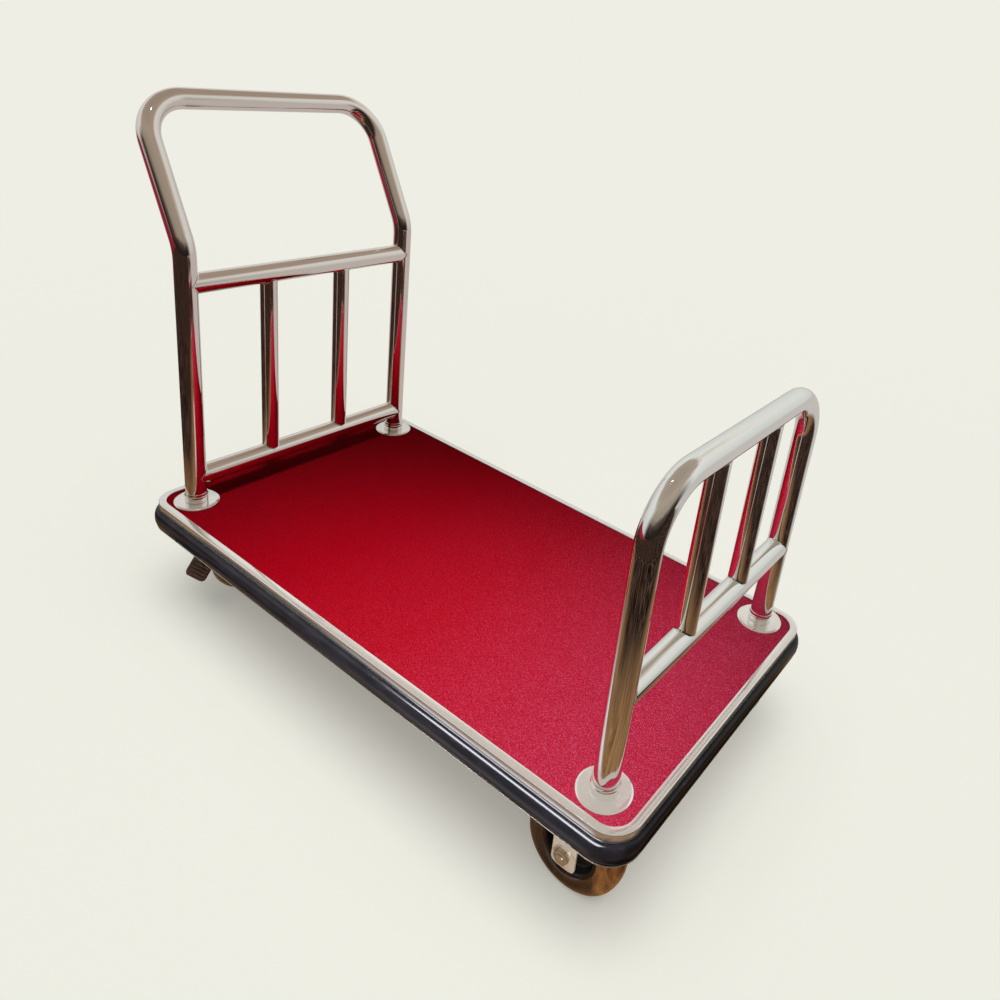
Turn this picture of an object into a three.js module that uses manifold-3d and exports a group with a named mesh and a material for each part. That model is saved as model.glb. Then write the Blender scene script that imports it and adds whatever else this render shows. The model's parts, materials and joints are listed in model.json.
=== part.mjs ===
// Hotel luggage cart: a carpeted platform on four casters, with a tall push handle at one end
// and a low guard at the other. Millimetres, +Z up, floor at z = 0, length along X, the tall
// handle at -X. The origin is on the floor under the middle of the cart's bounding box.
import * as THREE from "three";
import { mergeVertices } from "three/addons/utils/BufferGeometryUtils.js";
import Module from "manifold-3d";

const wasm = await Module();
wasm.setup();

// Overall sizes
const CENTRE_X = 35; // the deck's middle, ahead of the origin because the handle leans back
const FLOOR_TO_CARPET = 215;
const GAP = 0.3;
const TUBE_OD = 38;
const TUBE_WALL = 2;
const SPINDLE_OD = 32;

// Deck
const RIM_HALF_LENGTH = 557.5;
const RIM_HALF_WIDTH = 298.5;
const RIM_CORNER = 46.5;
const RIM_WIDTH = 13;
const RIM_RISE = 1.4; // the rim stands this much above the carpet
const SHEET = 1.8; // thickness of the trim's sheet metal
const SKIRT_DROP = 14; // from the carpet down to the trim's ledge
const EDGE_DROP = 50; // from the carpet down to the bottom of the trim
const WEB_INSET = 8; // the trim's web stands back behind the bumper
const FLANGE_WIDTH = 18; // the trim's inner flange, which carries the board
const LIP_PROUD = 5;
const BUMPER_PROUD = 8.5;
const CARPET_THICKNESS = 4;
const BOARD_THICKNESS = 16;
const MEMBER_WIDTH = 30;
const MEMBER_HEIGHT = 20;
const MEMBER_WALL = 2;
const MEMBER_XS = [-300, 0, 300];

// Handle and guard, measured from the deck's middle and from the carpet's top
const POST_X = 490;
const POST_Y = 242.5;
const SPINDLE_Y = 83;
const FLANGE_RADIUS = 40;
const FLANGE_THICKNESS = 5;
const FLANGE_BEVEL = 1.5;
const COLLAR_RADIUS = 20.8;
const COLLAR_HEIGHT = 18;
const HANDLE_TOP = 735.9;
const HANDLE_LEAN = 126.8;
const HANDLE_KNEE = 501.8;
const HANDLE_KNEE_RADIUS = 84.4;
const HANDLE_CORNER_RADIUS = 77.7;
const HANDLE_CROSSBAR = 437.8;
const HANDLE_LOWER_RAIL = 55.5;
const GUARD_TOP = 461.5;
const GUARD_CORNER_RADIUS = 84.4;
const GUARD_LOWER_RAIL = 160.8;

// Wheels
const WHEEL_RADIUS = 80;
const WHEEL_SIDES = 36;
const WHEEL_HALF_WIDTH = 27;
const HUB_RADIUS = 47;
const HUB_SIDES = 24;
const HUB_RIM_HALF = 22;
const BOSS_RADIUS = 15;
const BOSS_HALF = 28.5;
const AXLE_RADIUS = 7.5;
const AXLE_Z = WHEEL_RADIUS * Math.cos(Math.PI / WHEEL_SIDES); // the wheel stands on a facet

// Forks
const LEG_INSIDE = 30.3; // from the wheel's middle plane to the inner face of a leg
const LEG_THICKNESS = 4;
const LEG_HALF_WIDTH = 20.5;
const LEG_BELOW_AXLE = 25;
const LEG_OUTSIDE = LEG_INSIDE + LEG_THICKNESS;
const PLATE_LENGTH = 110;
const PLATE_WIDTH = 90;
const PLATE_THICKNESS = 5;
const PLATE_HOLE_RADIUS = 4.5;
const RIGID_X = 453.5;
const RIGID_Y = 225;
const RIGID_LEG_TOP_HALF = 45;
const RIGID_HOLE = [47, 20];
const HEX_RADIUS = 13;
const HEX_THICKNESS = 8;
const BOLT_END = 45; // from the wheel's middle plane

// Swivel casters, about the swivel axis with the wheel trailing towards -X
const SWIVEL_X = -452;
const SWIVEL_Y = 212;
const SWIVEL_TRAIL = 56;
const NEAR_TURN = THREE.MathUtils.degToRad(-80);
const FAR_TURN = THREE.MathUtils.degToRad(75);
const SWIVEL_HOLE = [45, 35];
const KINGPIN_RADIUS = 8;
const KINGPIN_HEAD_RADIUS = 13;
const KINGPIN_HEAD = 8;
const RACE_RADIUS = 36;
const RACE_HEIGHT = 8.6;
const CROWN_BACK = -58;
const CROWN_FRONT = 30;
const CROWN_THICKNESS = 5;
const PEDAL_PIN_X = 38;
const PEDAL_PIN_DROP = 8; // from the top of the crown down to the pedal's pin
const PEDAL_PIN_RADIUS = 3;
const PEDAL_BARREL_RADIUS = 6.5;
const PEDAL_HALF_WIDTH = 25;
const PEDAL_SHEET = 4;
const PEDAL_BEND = [42, 120];
const PEDAL_TIP = [74, 84];
const SHOE_HALF_WIDTH = 14;
const SHOE_BACK = 18;
const SHOE_BOTTOM = 126;
const SHOE_TOP = 140;

// Heights that follow
const BOARD_TOP = FLOOR_TO_CARPET - CARPET_THICKNESS - GAP;
const BOARD_BOTTOM = BOARD_TOP - BOARD_THICKNESS;
const UNDER_BOARD = BOARD_BOTTOM - GAP;
const PLATE_BOTTOM = UNDER_BOARD - PLATE_THICKNESS;
const CROWN_TOP = PLATE_BOTTOM - RACE_HEIGHT - 2 * GAP;
const CROWN_BOTTOM = CROWN_TOP - CROWN_THICKNESS;
const POST_FOOT = FLOOR_TO_CARPET + FLANGE_THICKNESS + 2 * GAP;

const finish = (color, roughness, metalness) =>
  new THREE.MeshStandardMaterial({ color, roughness, metalness });

const CHROME = finish(0xd8d4cc, 0.1, 1);
const TRIM_STEEL = finish(0xdcd9d0, 0.2, 1);
const CARPET = finish(0xa01028, 0.95, 0);
const BUMPER_RUBBER = finish(0x15151a, 0.5, 0);
const PLYWOOD = finish(0x8a6a48, 0.7, 0);
const FRAME_PAINT = finish(0x2a2a2c, 0.5, 0.2);
const ZINC = finish(0xcabfae, 0.35, 1);
const TYRE = finish(0x4a2410, 0.25, 0);
const HUB = finish(0x141214, 0.4, 0);

const cart = new THREE.Group();
const deck = new THREE.Group();
deck.position.x = CENTRE_X;
cart.add(deck);

function addMesh(parent, name, geometry, material) {
  const mesh = new THREE.Mesh(geometry, material);
  mesh.name = name;
  parent.add(mesh);
}

// Booleans

function solidOf(geometry) {
  const bare = geometry.clone();
  bare.deleteAttribute("normal");
  bare.deleteAttribute("uv");
  const merged = mergeVertices(bare, 1e-4);
  return new wasm.Manifold(
    new wasm.Mesh({
      numProp: 3,
      vertProperties: merged.attributes.position.array,
      triVerts: new Uint32Array(merged.index.array),
    }),
  );
}

function geometryOf(solid) {
  const { vertProperties, triVerts } = solid.getMesh();
  const geometry = new THREE.BufferGeometry();
  geometry.setAttribute("position", new THREE.BufferAttribute(vertProperties, 3));
  geometry.setIndex(new THREE.BufferAttribute(triVerts, 1));
  geometry.computeVertexNormals();
  return geometry;
}

function join(...pieces) {
  return geometryOf(pieces.map(solidOf).reduce((whole, next) => whole.add(next)));
}

function cut(piece, ...cutters) {
  const start = solidOf(piece);
  return geometryOf(cutters.map(solidOf).reduce((whole, next) => whole.subtract(next), start));
}

// Plates and rods

function roundedRectangle(halfLength, halfWidth, radius) {
  const shape = new THREE.Shape();
  const x = halfLength - radius;
  const y = halfWidth - radius;
  shape.absarc(x, y, radius, 0, Math.PI / 2);
  shape.absarc(-x, y, radius, Math.PI / 2, Math.PI);
  shape.absarc(-x, -y, radius, Math.PI, 1.5 * Math.PI);
  shape.absarc(x, -y, radius, 1.5 * Math.PI, 2 * Math.PI);
  return shape;
}

function slab(shape, bottom, top, curveSegments) {
  const settings = { depth: top - bottom, bevelEnabled: false, curveSegments };
  return new THREE.ExtrudeGeometry(shape, settings).translate(0, 0, bottom);
}

// The deck's outline, moved outwards by grow.
function deckOutline(grow) {
  return roundedRectangle(RIM_HALF_LENGTH + grow, RIM_HALF_WIDTH + grow, RIM_CORNER + grow);
}

// Slabs and rings of the deck's outline, with their heights measured from the carpet's top.
function deckSlab(grow, bottom, top) {
  return slab(deckOutline(grow), FLOOR_TO_CARPET + bottom, FLOOR_TO_CARPET + top, 4);
}

function deckRing(outer, inner, bottom, top) {
  return cut(deckSlab(outer, bottom, top), deckSlab(inner, bottom - 1, top + 1));
}

function box(sizeX, sizeY, sizeZ, x, y, z) {
  return new THREE.BoxGeometry(sizeX, sizeY, sizeZ).translate(x, y, z);
}

function alongY(radius, fromY, toY, x, z, sides) {
  const length = toY - fromY;
  const rod = new THREE.CylinderGeometry(radius, radius, length, sides);
  return rod.translate(x, fromY + length / 2, z);
}

function alongZ(radius, fromZ, toZ, x, y, sides) {
  const length = toZ - fromZ;
  const rod = new THREE.CylinderGeometry(radius, radius, length, sides).rotateX(Math.PI / 2);
  return rod.translate(x, y, fromZ + length / 2);
}

// Turned shapes. A profile is a list of [radius, height], outwards below and inwards above.
function turned(profile, sides) {
  const points = profile.map(([radius, height]) => new THREE.Vector2(radius, height));
  return new THREE.LatheGeometry(points, sides);
}

function turnedRing(profile, sides) {
  return turned([...profile, profile[0]], sides);
}

// A path of straight runs with a round bend at each inner corner. Its stations are the ends of
// the runs and the points of the bends, so a tube along it has no rings on its straight runs.
class BentPath extends THREE.Curve {
  constructor(corners, radii = [], stepsPerBend = 7) {
    super();
    const points = corners.map((corner) => new THREE.Vector3(...corner));
    this.stations = [points[0]];
    radii.forEach((radius, i) => {
      this.stations.push(...bend(points[i], points[i + 1], points[i + 2], radius, stepsPerBend));
    });
    this.stations.push(points.at(-1));
  }

  getPoint(t, target = new THREE.Vector3()) {
    const place = t * (this.stations.length - 1);
    const index = THREE.MathUtils.clamp(Math.floor(place), 0, this.stations.length - 2);
    return target.lerpVectors(this.stations[index], this.stations[index + 1], place - index);
  }

  getPointAt(u, target) {
    return this.getPoint(u, target);
  }

  getTangentAt(u, target) {
    return this.getTangent(u, target);
  }
}

// Points on the arc that rounds a corner between two straight runs.
function bend(before, corner, after, radius, steps) {
  const back = before.clone().sub(corner).normalize();
  const ahead = after.clone().sub(corner).normalize();
  const half = back.angleTo(ahead) / 2;
  const inwards = back.clone().add(ahead).normalize();
  const centre = corner.clone().addScaledVector(inwards, radius / Math.sin(half));
  const arm = corner.clone().addScaledVector(back, radius / Math.tan(half)).sub(centre);
  const axis = new THREE.Vector3().crossVectors(ahead, back).normalize();
  const points = [];
  for (let i = 0; i <= steps; i++) {
    const angle = ((Math.PI - 2 * half) * i) / steps;
    points.push(arm.clone().applyAxisAngle(axis, angle).add(centre));
  }
  return points;
}

function tubeAlong(path, diameter) {
  const section = new THREE.Shape().absarc(0, 0, diameter / 2, 0, 2 * Math.PI);
  const bore = new THREE.Path().absarc(0, 0, diameter / 2 - TUBE_WALL, 0, 2 * Math.PI);
  section.holes.push(bore);
  const steps = path.stations.length - 1;
  return new THREE.ExtrudeGeometry(section, { extrudePath: path, steps, curveSegments: 8 });
}

// Deck

// Bent sheet metal: a rim over the carpet's edge, a skirt, a ledge over the bumper, a web behind
// it and a lip below it, with an inner flange that carries the board.
function trimFrame() {
  const ledge = -SKIRT_DROP;
  const inside = -WEB_INSET - SHEET;
  const flangeTop = UNDER_BOARD - FLOOR_TO_CARPET;
  const half = SHEET / 2; // neighbouring bends run this far into each other
  return join(
    deckRing(0, -RIM_WIDTH, RIM_RISE - SHEET, RIM_RISE),
    deckRing(0, -SHEET, ledge, RIM_RISE - half),
    deckRing(-half, inside, ledge, ledge + SHEET),
    deckRing(-WEB_INSET, inside, -EDGE_DROP, ledge + half),
    deckRing(LIP_PROUD, inside, -EDGE_DROP, SHEET - EDGE_DROP),
    deckRing(half - WEB_INSET - SHEET, inside - FLANGE_WIDTH, flangeTop - SHEET, flangeTop),
  );
}

// A rubber profile with a round face and a flat back.
function bumper() {
  const bottom = SHEET - EDGE_DROP + GAP;
  const top = -SKIRT_DROP - GAP;
  const depth = 3.6;
  const crown = (top - bottom - depth) / 2;
  const pad = new THREE.ExtrudeGeometry(deckOutline(-GAP), {
    depth,
    bevelThickness: crown,
    bevelSize: BUMPER_PROUD + GAP,
    bevelSegments: 4,
    curveSegments: 4,
  });
  pad.translate(0, 0, FLOOR_TO_CARPET + bottom + crown);
  return cut(pad, deckSlab(GAP - WEB_INSET, bottom - 1, top + 1));
}

// The carpet's top is divided beside the feet, so that the clear middle is a face of its own.
function carpet() {
  const halfLength = RIM_HALF_LENGTH - RIM_WIDTH - GAP;
  const halfWidth = RIM_HALF_WIDTH - RIM_WIDTH - GAP;
  const corner = RIM_CORNER - RIM_WIDTH - GAP;
  const clear = POST_X - FLANGE_RADIUS - 5;
  const end = new THREE.Shape();
  end.moveTo(clear, -halfWidth);
  end.lineTo(halfLength - corner, -halfWidth);
  end.absarc(halfLength - corner, corner - halfWidth, corner, -Math.PI / 2, 0);
  end.absarc(halfLength - corner, halfWidth - corner, corner, 0, Math.PI / 2);
  end.lineTo(clear, halfWidth);
  const right = end.getPoints(4);
  const left = right.map(({ x, y }) => new THREE.Vector2(-x, -y));
  const outline = [...right, ...left];
  const count = outline.length;
  const half = count / 2;
  const positions = [];
  for (const z of [FLOOR_TO_CARPET - CARPET_THICKNESS, FLOOR_TO_CARPET]) {
    outline.forEach(({ x, y }) => positions.push(x, y, z));
  }
  const faces = [];
  const addTop = (a, b, c) => faces.push(count + a, count + b, count + c, a, c, b);
  for (let i = 1; i < half - 1; i += 1) {
    addTop(0, i, i + 1);
    addTop(half, half + i, half + i + 1);
  }
  addTop(0, half - 1, half);
  addTop(0, half, count - 1);
  for (let i = 0; i < count; i += 1) {
    const next = (i + 1) % count;
    faces.push(i, next, count + next, i, count + next, count + i);
  }
  const geometry = new THREE.BufferGeometry();
  geometry.setAttribute("position", new THREE.Float32BufferAttribute(positions, 3));
  geometry.setIndex(faces);
  geometry.computeVertexNormals();
  return geometry;
}

function addDeck() {
  const boardTop = BOARD_TOP - FLOOR_TO_CARPET;
  const boardEdge = -WEB_INSET - SHEET - GAP;
  const board = deckSlab(boardEdge, boardTop - BOARD_THICKNESS, boardTop);
  addMesh(deck, "deck_board", board, PLYWOOD);
  addMesh(deck, "carpet", carpet(), CARPET);
  addMesh(deck, "trim_frame", trimFrame(), TRIM_STEEL);
  addMesh(deck, "bumper", bumper(), BUMPER_RUBBER);
  const length = 2 * (RIM_HALF_WIDTH - WEB_INSET - SHEET - FLANGE_WIDTH - 1);
  const z = UNDER_BOARD - MEMBER_HEIGHT / 2;
  MEMBER_XS.forEach((x, i) => {
    const bore = box(
      MEMBER_WIDTH - 2 * MEMBER_WALL,
      length + 1,
      MEMBER_HEIGHT - 2 * MEMBER_WALL,
      x,
      0,
      z,
    );
    const member = cut(box(MEMBER_WIDTH, length, MEMBER_HEIGHT, x, 0, z), bore);
    addMesh(deck, `underframe_member_${i + 1}`, member, FRAME_PAINT);
  });
}

// Handle and guard

function handleTube() {
  const knee = FLOOR_TO_CARPET + HANDLE_KNEE;
  const top = FLOOR_TO_CARPET + HANDLE_TOP;
  const back = -POST_X - HANDLE_LEAN;
  const corners = [
    [-POST_X, -POST_Y, POST_FOOT],
    [-POST_X, -POST_Y, knee],
    [back, -POST_Y, top],
    [back, POST_Y, top],
    [-POST_X, POST_Y, knee],
    [-POST_X, POST_Y, POST_FOOT],
  ];
  const side = [HANDLE_KNEE_RADIUS, HANDLE_CORNER_RADIUS];
  return tubeAlong(new BentPath(corners, [...side, ...side.toReversed()], 6), TUBE_OD);
}

function guardTube() {
  const top = FLOOR_TO_CARPET + GUARD_TOP;
  const corners = [
    [POST_X, -POST_Y, POST_FOOT],
    [POST_X, -POST_Y, top],
    [POST_X, POST_Y, top],
    [POST_X, POST_Y, POST_FOOT],
  ];
  return tubeAlong(new BentPath(corners, [GUARD_CORNER_RADIUS, GUARD_CORNER_RADIUS]), TUBE_OD);
}

// Rails and spindles have coped ends, which follow the round of the tube that they are welded to.
const COPE_RADIUS = TUBE_OD / 2 + GAP;
const COPE_SIDES = 36;

function railBetweenPosts(x, z) {
  const tube = tubeAlong(new BentPath([[x, -POST_Y, z], [x, POST_Y, z]]), TUBE_OD);
  const copes = [-POST_Y, POST_Y].map((y) =>
    alongZ(COPE_RADIUS, z - TUBE_OD, z + TUBE_OD, x, y, COPE_SIDES),
  );
  return cut(tube, ...copes);
}

function spindle(x, y, bottom, top) {
  const tube = tubeAlong(new BentPath([[x, y, bottom], [x, y, top]]), SPINDLE_OD);
  const copes = [bottom, top].map((z) =>
    alongY(COPE_RADIUS, y - SPINDLE_OD, y + SPINDLE_OD, x, z, COPE_SIDES),
  );
  return cut(tube, ...copes);
}

function footFlange() {
  const profile = [
    [0, 0],
    [FLANGE_RADIUS, 0],
    [FLANGE_RADIUS, FLANGE_THICKNESS - FLANGE_BEVEL],
    [FLANGE_RADIUS - FLANGE_BEVEL, FLANGE_THICKNESS],
    [0, FLANGE_THICKNESS],
  ];
  return turned(profile, 28).rotateX(Math.PI / 2);
}

function footCollar() {
  const bore = TUBE_OD / 2 + GAP;
  const profile = [
    [bore, 0],
    [COLLAR_RADIUS, 0],
    [COLLAR_RADIUS, COLLAR_HEIGHT],
    [bore, COLLAR_HEIGHT],
  ];
  return turnedRing(profile, 24).rotateX(Math.PI / 2);
}

function addUpright(name, x, lowerRail, topRail) {
  for (const [side, sign] of [["near", -1], ["far", 1]]) {
    const post = sign * POST_Y;
    const rod = spindle(x, sign * SPINDLE_Y, FLOOR_TO_CARPET + lowerRail, FLOOR_TO_CARPET + topRail);
    addMesh(deck, `${name}_spindle_${side}`, rod, CHROME);
    const flange = footFlange().translate(x, post, FLOOR_TO_CARPET + GAP);
    addMesh(deck, `${name}_foot_flange_${side}`, flange, CHROME);
    addMesh(deck, `${name}_foot_collar_${side}`, footCollar().translate(x, post, POST_FOOT), CHROME);
  }
  addMesh(deck, `${name}_lower_rail`, railBetweenPosts(x, FLOOR_TO_CARPET + lowerRail), CHROME);
}

function addUprights() {
  addMesh(deck, "handle_tube", handleTube(), CHROME);
  const crossbar = railBetweenPosts(-POST_X, FLOOR_TO_CARPET + HANDLE_CROSSBAR);
  addMesh(deck, "handle_crossbar", crossbar, CHROME);
  addUpright("handle", -POST_X, HANDLE_LOWER_RAIL, HANDLE_CROSSBAR);
  addMesh(deck, "guard_tube", guardTube(), CHROME);
  addUpright("guard", POST_X, GUARD_LOWER_RAIL, GUARD_TOP);
}

// Wheels, about the axle, which lies along Y

// A soft balloon section, a little flattened where it meets the floor.
function tyre() {
  const bore = HUB_RADIUS + GAP;
  const shoulder = 56;
  const steps = 9;
  const fullness = 2 / 2.4; // exponent of the superellipse
  const flatten = 1.03;
  const profile = [[bore, -HUB_RIM_HALF]];
  for (let i = 0; i <= steps; i++) {
    const angle = Math.PI * (i / steps - 0.5);
    const reach = Math.min(1, flatten * Math.max(Math.cos(angle), 0) ** fullness);
    const side = Math.sign(angle) * Math.abs(Math.sin(angle)) ** fullness;
    profile.push([shoulder + (WHEEL_RADIUS - shoulder) * reach, WHEEL_HALF_WIDTH * side]);
  }
  profile.push([bore, HUB_RIM_HALF]);
  // The lathe is turned half a side round, so that the wheel stands on a flat facet.
  return turnedRing(profile, WHEEL_SIDES).rotateY(Math.PI / WHEEL_SIDES);
}

function hub() {
  const bore = AXLE_RADIUS + GAP;
  const web = 8;
  const rimInside = HUB_RADIUS - 6;
  const profile = [
    [bore, -BOSS_HALF],
    [BOSS_RADIUS, -BOSS_HALF],
    [BOSS_RADIUS, -web],
    [rimInside, -web],
    [rimInside, -HUB_RIM_HALF],
    [HUB_RADIUS, -HUB_RIM_HALF],
    [HUB_RADIUS, HUB_RIM_HALF],
    [rimInside, HUB_RIM_HALF],
    [rimInside, web],
    [BOSS_RADIUS, web],
    [BOSS_RADIUS, BOSS_HALF],
    [bore, BOSS_HALF],
  ];
  return turnedRing(profile, HUB_SIDES);
}

// The bolt's head is on one side of the fork and its nut on the other, where out is the sign of y.
function axleBolt(out) {
  const face = LEG_OUTSIDE + GAP;
  const ends = [-out * (face + HEX_THICKNESS), -out * face].sort((a, b) => a - b);
  const shankEnds = [-out * (face + 1), out * BOLT_END].sort((a, b) => a - b);
  return join(
    alongY(HEX_RADIUS, ...ends, 0, 0, 6),
    alongY(AXLE_RADIUS, ...shankEnds, 0, 0, 20),
  );
}

function axleNut(out) {
  const face = LEG_OUTSIDE + GAP;
  const ends = [out * face, out * (face + HEX_THICKNESS)].sort((a, b) => a - b);
  return cut(alongY(HEX_RADIUS, ...ends, 0, 0, 6), axleHole(0, 0));
}

function axleHole(x, z) {
  return alongY(AXLE_RADIUS + GAP, -BOLT_END - 1, BOLT_END + 1, x, z, 20);
}

function addWheel(parent, place, x, y, out) {
  const wheel = new THREE.Group();
  wheel.position.set(x, y, AXLE_Z);
  parent.add(wheel);
  addMesh(wheel, `tyre_${place}`, tyre(), TYRE);
  addMesh(wheel, `hub_${place}`, hub(), HUB);
  addMesh(wheel, `axle_bolt_${place}`, axleBolt(out), ZINC);
  addMesh(wheel, `axle_nut_${place}`, axleNut(out), ZINC);
}

// Forks

// One leg: wide at the top, tapering to a rounded end below the axle.
function leg(side, axleX, topBack, topFront, top) {
  const corner = 14;
  const foot = AXLE_Z - LEG_BELOW_AXLE;
  const back = axleX - LEG_HALF_WIDTH;
  const front = axleX + LEG_HALF_WIDTH;
  const shape = new THREE.Shape();
  shape.moveTo(topBack, top);
  shape.lineTo(back, AXLE_Z + LEG_HALF_WIDTH);
  shape.absarc(back + corner, foot + corner, corner, Math.PI, 1.5 * Math.PI);
  shape.absarc(front - corner, foot + corner, corner, 1.5 * Math.PI, 2 * Math.PI);
  shape.lineTo(front, AXLE_Z + LEG_HALF_WIDTH);
  shape.lineTo(topFront, top);
  const sheet = slab(shape, 0, LEG_THICKNESS, 3).rotateX(Math.PI / 2);
  return sheet.translate(0, side > 0 ? LEG_OUTSIDE : -LEG_INSIDE, 0);
}

function mountPlate([holeX, holeY]) {
  const outline = roundedRectangle(PLATE_LENGTH / 2, PLATE_WIDTH / 2, 8);
  const holes = [];
  for (const x of [-holeX, holeX]) {
    for (const y of [-holeY, holeY]) {
      holes.push(alongZ(PLATE_HOLE_RADIUS, PLATE_BOTTOM - 1, UNDER_BOARD + 1, x, y, 10));
    }
  }
  return cut(slab(outline, PLATE_BOTTOM, UNDER_BOARD, 2), ...holes);
}

function rigidFork() {
  const top = PLATE_BOTTOM + 1;
  const half = RIGID_LEG_TOP_HALF;
  const legs = [-1, 1].map((side) => leg(side, 0, -half, half, top));
  return cut(join(mountPlate(RIGID_HOLE), ...legs), axleHole(0, AXLE_Z));
}

function kingpinHole(bottom, top) {
  return alongZ(KINGPIN_RADIUS + GAP, bottom, top, 0, 0, 20);
}

function swivelPlate() {
  return cut(mountPlate(SWIVEL_HOLE), kingpinHole(PLATE_BOTTOM - 1, UNDER_BOARD + 1));
}

function raceway() {
  const bore = KINGPIN_RADIUS + GAP;
  const bottom = CROWN_TOP + GAP;
  const top = PLATE_BOTTOM - GAP;
  const chamfer = 3;
  const profile = [
    [bore, bottom],
    [RACE_RADIUS - chamfer, bottom],
    [RACE_RADIUS, bottom + chamfer],
    [RACE_RADIUS, top],
    [bore, top],
  ];
  return turnedRing(profile, 24).rotateX(Math.PI / 2);
}

function kingpin() {
  const head = CROWN_BOTTOM - GAP;
  const chamfer = 2;
  const profile = [
    [0, head - KINGPIN_HEAD],
    [KINGPIN_HEAD_RADIUS - chamfer, head - KINGPIN_HEAD],
    [KINGPIN_HEAD_RADIUS, head - KINGPIN_HEAD + chamfer],
    [KINGPIN_HEAD_RADIUS, head],
    [KINGPIN_RADIUS, head],
    [KINGPIN_RADIUS, UNDER_BOARD - GAP],
    [0, UNDER_BOARD - GAP],
  ];
  return turned(profile, 16).rotateX(Math.PI / 2);
}

const PEDAL_PIN_Z = CROWN_TOP - PEDAL_PIN_DROP;

function pedalPinHole() {
  const radius = PEDAL_PIN_RADIUS + GAP;
  return alongY(radius, -BOLT_END, BOLT_END, PEDAL_PIN_X, PEDAL_PIN_Z, 16);
}

// An ear carries the pedal's pin in front of the crown.
function ear(side) {
  const y = side * (LEG_OUTSIDE - LEG_THICKNESS / 2);
  const back = CROWN_FRONT - 6;
  const front = PEDAL_PIN_X + PEDAL_BARREL_RADIUS;
  const bottom = PEDAL_PIN_Z - PEDAL_BARREL_RADIUS;
  const width = front - back;
  return box(width, LEG_THICKNESS, CROWN_TOP - bottom, back + width / 2, y, (CROWN_TOP + bottom) / 2);
}

function swivelFork() {
  const crown = box(
    CROWN_FRONT - CROWN_BACK,
    2 * LEG_OUTSIDE,
    CROWN_THICKNESS,
    (CROWN_FRONT + CROWN_BACK) / 2,
    0,
    CROWN_TOP - CROWN_THICKNESS / 2,
  );
  const sides = [-1, 1].flatMap((side) => [
    leg(side, -SWIVEL_TRAIL, CROWN_BACK, CROWN_FRONT, CROWN_TOP - 1),
    ear(side),
  ]);
  const holes = [
    kingpinHole(CROWN_BOTTOM - 1, CROWN_TOP + 1),
    axleHole(-SWIVEL_TRAIL, AXLE_Z),
    pedalPinHole(),
  ];
  return cut(join(crown, ...sides), ...holes);
}

// The pedal turns on its pin and hangs in front of the tyre. Pushing its flared tip towards the
// wheel brings the shoe on its back to the tyre.
function brakePedal() {
  const [bendX, bendZ] = PEDAL_BEND;
  const [tipX, tipZ] = PEDAL_TIP;
  const back = bendX - PEDAL_SHEET;
  const plate = new THREE.Shape();
  plate.moveTo(bendX, PEDAL_PIN_Z);
  plate.lineTo(back, PEDAL_PIN_Z);
  plate.lineTo(back, bendZ - 1);
  plate.lineTo(tipX - 3, tipZ - 3);
  plate.lineTo(tipX, tipZ);
  plate.lineTo(bendX, bendZ);
  const sheet = slab(plate, -PEDAL_HALF_WIDTH, PEDAL_HALF_WIDTH, 1).rotateX(Math.PI / 2);
  const width = 2 * PEDAL_HALF_WIDTH;
  const barrel = alongY(PEDAL_BARREL_RADIUS, -width / 2, width / 2, PEDAL_PIN_X, PEDAL_PIN_Z, 16);
  const length = back + 1 - SHOE_BACK;
  const shoe = box(
    length,
    2 * SHOE_HALF_WIDTH,
    SHOE_TOP - SHOE_BOTTOM,
    SHOE_BACK + length / 2,
    0,
    (SHOE_TOP + SHOE_BOTTOM) / 2,
  );
  return cut(join(sheet, barrel, shoe), pedalPinHole());
}

function pedalPin() {
  return alongY(PEDAL_PIN_RADIUS, -LEG_OUTSIDE - 2, LEG_OUTSIDE + 2, PEDAL_PIN_X, PEDAL_PIN_Z, 16);
}

function addRigidCaster(side, sign) {
  const caster = new THREE.Group();
  caster.position.set(RIGID_X, sign * RIGID_Y, 0);
  deck.add(caster);
  const place = `rigid_${side}`;
  addMesh(caster, `fork_${place}`, rigidFork(), ZINC);
  addWheel(caster, place, 0, 0, sign);
}

// The plate, raceway and kingpin keep the deck's directions, and the rest is turned about the pin.
function addSwivelCaster(side, sign, turn) {
  const fixed = new THREE.Group();
  fixed.position.set(SWIVEL_X, sign * SWIVEL_Y, 0);
  deck.add(fixed);
  addMesh(fixed, `swivel_plate_${side}`, swivelPlate(), ZINC);
  addMesh(fixed, `swivel_raceway_${side}`, raceway(), ZINC);
  addMesh(fixed, `kingpin_${side}`, kingpin(), ZINC);
  const turning = new THREE.Group();
  turning.rotation.z = turn;
  fixed.add(turning);
  const place = `swivel_${side}`;
  addMesh(turning, `fork_${place}`, swivelFork(), ZINC);
  addMesh(turning, `brake_pedal_${side}`, brakePedal(), ZINC);
  addMesh(turning, `brake_pin_${side}`, pedalPin(), ZINC);
  addWheel(turning, place, -SWIVEL_TRAIL, 0, sign);
}

addDeck();
addUprights();
addRigidCaster("near", -1);
addRigidCaster("far", 1);
addSwivelCaster("near", -1, NEAR_TURN);
addSwivelCaster("far", 1, FAR_TURN);

export default cart;
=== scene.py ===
"""The looks of a hotel luggage cart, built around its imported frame. Metres, +Z up."""

import json
import math

import bmesh
import bpy
from mathutils import Matrix, Vector, noise

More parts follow.
